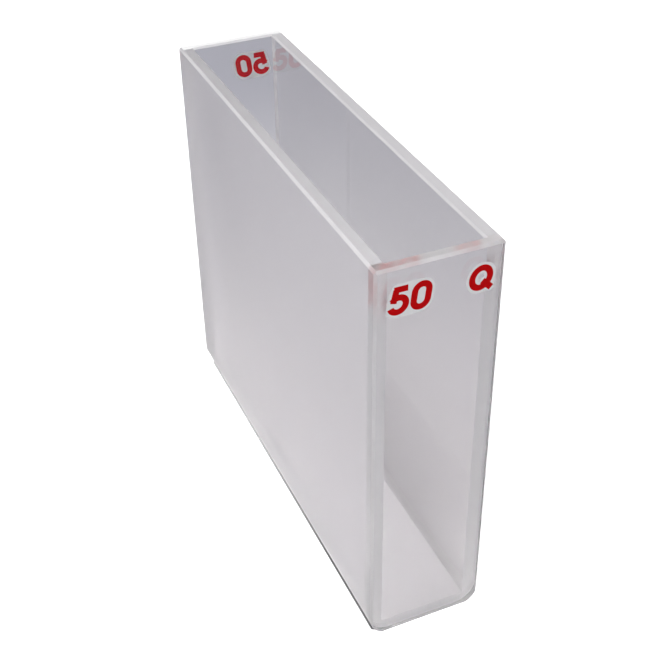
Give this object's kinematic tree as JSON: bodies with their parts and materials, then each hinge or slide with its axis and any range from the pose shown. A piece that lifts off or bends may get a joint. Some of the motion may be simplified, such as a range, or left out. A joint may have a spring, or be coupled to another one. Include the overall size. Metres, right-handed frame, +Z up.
{
  "type": "cuvette",
  "caption": "Rectangular long-path absorption cell of fused quartz plates, with clear end windows, frosted sides and an open top, for liquid samples in a spectrophotometer.",
  "frame": {"origin": "middle of the foot, on the surface that the cell stands on", "axes": "+Y along the light path towards the rear window, +X across the cell towards the right side plate, +Z up"},
  "size_m": [0.0126, 0.0524, 0.045],
  "materials": {
    "polished_quartz": "polished, clear",
    "frosted_quartz": "finely ground, frosted",
    "base_quartz": "finely ground above and below",
    "red_enamel": "fired enamel print, satin",
    "white_enamel": "fired enamel print, satin"
  },
  "bodies": {
    "root": {"front_window": "polished_quartz", "rear_window": "polished_quartz", "left_side_plate": "frosted_quartz", "right_side_plate": "frosted_quartz", "base_plate": "base_quartz"}
  },
  "joints": []
}
